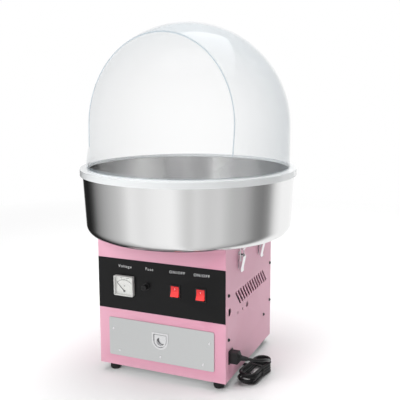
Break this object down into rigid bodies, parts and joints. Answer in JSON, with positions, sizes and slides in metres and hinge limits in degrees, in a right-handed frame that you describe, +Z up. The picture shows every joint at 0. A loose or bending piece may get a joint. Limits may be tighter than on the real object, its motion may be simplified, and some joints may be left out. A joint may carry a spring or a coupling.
{
  "type": "cotton candy machine",
  "caption": "Countertop cotton candy machine: pink steel case with drawer and switches, steel spinning bowl and a clear lift-off dome open at the front.",
  "frame": {"origin": "on the floor under the bowl's axis", "axes": "+Z up, the controls and the dome's opening face -Y, +X to the right seen from the front"},
  "size_m": [0.528, 0.5573, 0.835],
  "materials": {
    "black_film": "printed film",
    "black_plastic": "moulded",
    "black_rubber": "moulded",
    "bowl_steel": "brushed round the bowl",
    "brass": "bright",
    "bright_steel": "bright plated",
    "carbon": "pressed carbon",
    "cast_aluminium": "as cast",
    "cast_iron_case": "painted",
    "clear_acrylic": "polished",
    "dark_steel": "blackened",
    "pink_paint": "smooth pink powder coat",
    "plate_steel": "fine satin",
    "red_lens": "lit from inside",
    "white_plastic": "moulded"
  },
  "bodies": {
    "root": {"bottom_plate": "plate_steel", "bowl": "bowl_steel", "bowl_catches": "bright_steel", "brush_holder": "black_plastic", "carbon_brushes": "carbon", "case_screws": "dark_steel", "control_decal": "black_film", "cord_connector": "black_plastic", "cord_hank": "black_rubber", "cord_lead": "black_rubber", "cord_tail": "black_rubber", "cover_shell": "pink_paint", "drawer_rails": "plate_steel", "front_panel": "pink_paint", "fuse_holder": "black_plastic", "glass_fuse": "clear_acrylic", "latch_bases": "bright_steel", "latch_rivets": "bright_steel", "mains_plug": "black_plastic", "meter_case": "white_plastic", "meter_dial": "white_plastic", "meter_window": "clear_acrylic", "motor_bracket": "plate_steel", "motor_end_cap": "cast_aluminium", "motor_housing": "cast_iron_case", "motor_stator": "cast_iron_case", "motor_studs": "bright_steel", "power_inlet": "black_plastic", "rear_panel": "pink_paint", "rubber_feet": "black_rubber", "shaft_bearings": "bright_steel", "switch_body_left": "black_plastic", "switch_body_right": "black_plastic", "terminal_block": "white_plastic"},
    "spinner": {"drive_shaft": "bright_steel", "motor_rotor": "cast_iron_case", "slip_rings": "brass", "head_base": "cast_aluminium", "heating_ribbon": "bright_steel", "head_band": "cast_aluminium", "head_cap": "cast_aluminium", "head_nut": "bright_steel"},
    "drawer": {"drawer_front": "plate_steel", "drawer_tray": "plate_steel", "drawer_rivets": "bright_steel", "pull_cup": "bright_steel"},
    "pull_ring": {"pull_ring": "bright_steel"},
    "rocker_left": {"rocker_left": "red_lens"},
    "rocker_right": {"rocker_right": "red_lens"},
    "fuse_cap": {"fuse_cap": "black_plastic"},
    "meter_needle": {"meter_needle": "dark_steel"},
    "dome": {"dome": "clear_acrylic"},
    "lever_left_front": {"latch_lever_left_front": "bright_steel"},
    "bail_left_front": {"latch_bail_left_front": "bright_steel"},
    "lever_left_rear": {"latch_lever_left_rear": "bright_steel"},
    "bail_left_rear": {"latch_bail_left_rear": "bright_steel"},
    "lever_right_front": {"latch_lever_right_front": "bright_steel"},
    "bail_right_front": {"latch_bail_right_front": "bright_steel"},
    "lever_right_rear": {"latch_lever_right_rear": "bright_steel"},
    "bail_right_rear": {"latch_bail_right_rear": "bright_steel"}
  },
  "joints": [
    {"name": "spinner_spin", "type": "hinge", "parent": "root", "child": "spinner", "pos_m": [0, 0, 0.35], "axis": [0, 0, 1], "continuous": true},
    {"name": "drawer_slide", "type": "slide", "parent": "root", "child": "drawer", "axis": [0, -1, 0], "range_m": [0, 0.22]},
    {"name": "pull_ring_lift", "type": "hinge", "parent": "drawer", "child": "pull_ring", "pos_m": [0, -0.1611, 0.1106], "axis": [-1, 0, 0], "range_deg": [0, 85]},
    {"name": "rocker_left_press", "type": "hinge", "parent": "root", "child": "rocker_left", "pos_m": [0.0395, -0.161, 0.2215], "axis": [1, 0, 0], "range_deg": [0, 22]},
    {"name": "rocker_right_press", "type": "hinge", "parent": "root", "child": "rocker_right", "pos_m": [0.103, -0.161, 0.2215], "axis": [1, 0, 0], "range_deg": [0, 22]},
    {"name": "fuse_cap_turn", "type": "hinge", "parent": "root", "child": "fuse_cap", "pos_m": [-0.0344, -0.163, 0.2247], "axis": [0, 1, 0], "range_deg": [0, 60]},
    {"name": "meter_needle_swing", "type": "hinge", "parent": "root", "child": "meter_needle", "pos_m": [-0.0915, -0.1664, 0.208], "axis": [0, 1, 0], "range_deg": [0, 90]},
    {"name": "dome_lift", "type": "slide", "parent": "root", "child": "dome", "axis": [0, 0, 1], "range_m": [0, 0.15]},
    {"name": "lever_left_front_open", "type": "hinge", "parent": "root", "child": "lever_left_front", "pos_m": [-0.17, -0.08, 0.298], "axis": [0, 1, 0], "range_deg": [0, 90]},
    {"name": "bail_left_front_swing", "type": "hinge", "parent": "lever_left_front", "child": "bail_left_front", "pos_m": [-0.17, -0.08, 0.288], "axis": [0, 1, 0], "range_deg": [-75, 0]},
    {"name": "lever_left_rear_open", "type": "hinge", "parent": "root", "child": "lever_left_rear", "pos_m": [-0.17, 0.062, 0.298], "axis": [0, 1, 0], "range_deg": [0, 90]},
    {"name": "bail_left_rear_swing", "type": "hinge", "parent": "lever_left_rear", "child": "bail_left_rear", "pos_m": [-0.17, 0.062, 0.288], "axis": [0, 1, 0], "range_deg": [-75, 0]},
    {"name": "lever_right_front_open", "type": "hinge", "parent": "root", "child": "lever_right_front", "pos_m": [0.17, -0.08, 0.298], "axis": [0, -1, 0], "range_deg": [0, 90]},
    {"name": "bail_right_front_swing", "type": "hinge", "parent": "lever_right_front", "child": "bail_right_front", "pos_m": [0.17, -0.08, 0.288], "axis": [0, -1, 0], "range_deg": [-75, 0]},
    {"name": "lever_right_rear_open", "type": "hinge", "parent": "root", "child": "lever_right_rear", "pos_m": [0.17, 0.062, 0.298], "axis": [0, -1, 0], "range_deg": [0, 90]},
    {"name": "bail_right_rear_swing", "type": "hinge", "parent": "lever_right_rear", "child": "bail_right_rear", "pos_m": [0.17, 0.062, 0.288], "axis": [0, -1, 0], "range_deg": [-75, 0]}
  ],
  "couplings": [
    {"joint": "bail_left_front_swing", "follows": "lever_left_front_open", "ratio": -0.8},
    {"joint": "bail_left_rear_swing", "follows": "lever_left_rear_open", "ratio": -0.8},
    {"joint": "bail_right_front_swing", "follows": "lever_right_front_open", "ratio": -0.8},
    {"joint": "bail_right_rear_swing", "follows": "lever_right_rear_open", "ratio": -0.8}
  ]
}
